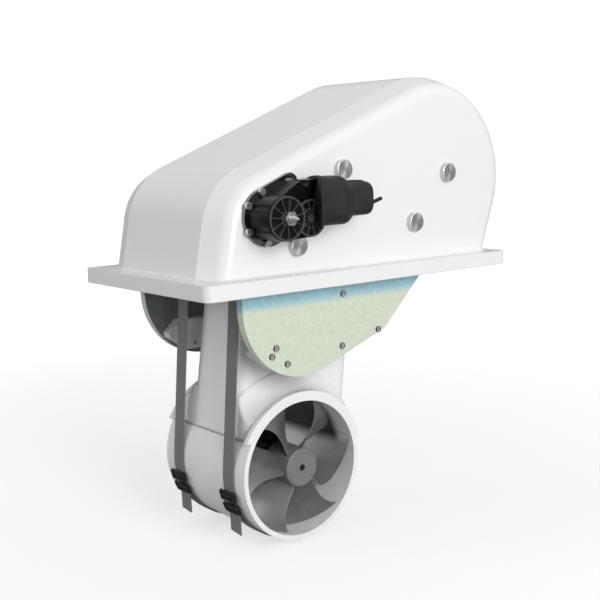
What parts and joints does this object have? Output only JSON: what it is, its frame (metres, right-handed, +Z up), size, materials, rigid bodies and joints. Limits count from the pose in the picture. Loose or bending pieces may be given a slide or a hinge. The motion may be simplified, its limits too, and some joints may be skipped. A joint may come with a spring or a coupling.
{
  "type": "retractable bow thruster",
  "caption": "Moulded housing with bolting flange and a leg that swings down on two pivots, carrying a short duct with a bladed propeller.",
  "frame": {"origin": "centre of the flange underside, at the middle of its corner bolts", "axes": "+X towards the high rear dome, +Y away from the lifting motor along the duct, +Z up"},
  "size_m": [0.563, 0.35, 0.6273],
  "materials": {
    "gelcoat": "glossy white gelcoat",
    "raw_laminate": "bare off-white moulding with faint streaks",
    "plate_laminate": "pale green mottled glass laminate",
    "stainless": "turned stainless steel",
    "gear_steel": "machined steel",
    "bronze": "plain bronze",
    "stop_plastic": "pale engineering plastic",
    "bracket_metal": "dark satin coating",
    "case_plastic": "black ribbed moulding",
    "boot_rubber": "matte black rubber",
    "webbing": "dark grey woven webbing",
    "buckle_plastic": "black moulded plastic",
    "propeller_plastic": "satin mid-grey moulding",
    "cast_grey": "grey cast alloy",
    "motor_paint": "black painted motor case"
  },
  "bodies": {
    "housing": {"housing_shell": "gelcoat", "side_plate_near": "plate_laminate", "side_plate_far": "plate_laminate", "plate_bolts_near": "stainless", "plate_bolts_far": "stainless", "plate_nuts_near": "stainless", "plate_nuts_far": "stainless", "pivot_pin_near": "stainless", "pivot_pin_far": "stainless", "thrust_washer_near": "bronze", "thrust_washer_far": "bronze", "down_stop_near": "stop_plastic", "down_stop_far": "stop_plastic", "wear_pad_near": "stop_plastic", "wear_pad_far": "stop_plastic", "plate_screws_near": "stainless", "plate_screws_far": "stainless", "output_shaft_bush": "bronze", "drive_bracket": "bracket_metal", "bracket_bolts": "stainless", "gear_case": "case_plastic", "lift_motor_can": "motor_paint", "lift_motor_boot": "boot_rubber", "motor_lead": "boot_rubber"},
    "lift_output": {"output_shaft": "gear_steel", "output_pinion": "gear_steel", "output_shaft_nut": "stainless"},
    "leg": {"leg_shell": "gelcoat", "duct_lower_shell": "raw_laminate", "sector_gear": "gear_steel", "pivot_bush_near": "bronze", "pivot_bush_far": "bronze", "gear_leg": "cast_grey", "propeller_shaft_bearings": "gear_steel", "drive_motor": "motor_paint", "strap_anchor_bar": "stainless", "strap_near": "webbing", "strap_far": "webbing", "buckles_near": "buckle_plastic", "buckles_far": "buckle_plastic", "stop_pin_near": "stainless", "stop_pin_far": "stainless"},
    "drive_shaft": {"drive_shaft": "gear_steel", "bevel_pinion": "gear_steel"},
    "propeller": {"propeller": "propeller_plastic", "propeller_shaft": "stainless", "bevel_gear": "gear_steel", "propeller_screw": "stainless"}
  },
  "joints": [
    {"name": "leg_swing", "type": "hinge", "parent": "housing", "child": "leg", "pos_m": [-0.12997, 0, 0.01482], "axis": [0, -1, 0], "range_deg": [0, 102]},
    {"name": "lift_output_turn", "type": "hinge", "parent": "housing", "child": "lift_output", "pos_m": [-0.165, 0, 0.095], "axis": [0, -1, 0], "range_deg": [-255, 0]},
    {"name": "propeller_spin", "type": "hinge", "parent": "leg", "child": "propeller", "pos_m": [-0.094, 0, -0.25], "axis": [0, 1, 0], "continuous": true},
    {"name": "drive_shaft_spin", "type": "hinge", "parent": "leg", "child": "drive_shaft", "pos_m": [-0.08596, -0.012, -0.19054], "axis": [0.134, 0, 0.991], "continuous": true}
  ],
  "couplings": [
    {"joint": "lift_output_turn", "follows": "leg_swing", "ratio": -2.5},
    {"joint": "drive_shaft_spin", "follows": "propeller_spin", "ratio": -1.4286}
  ]
}
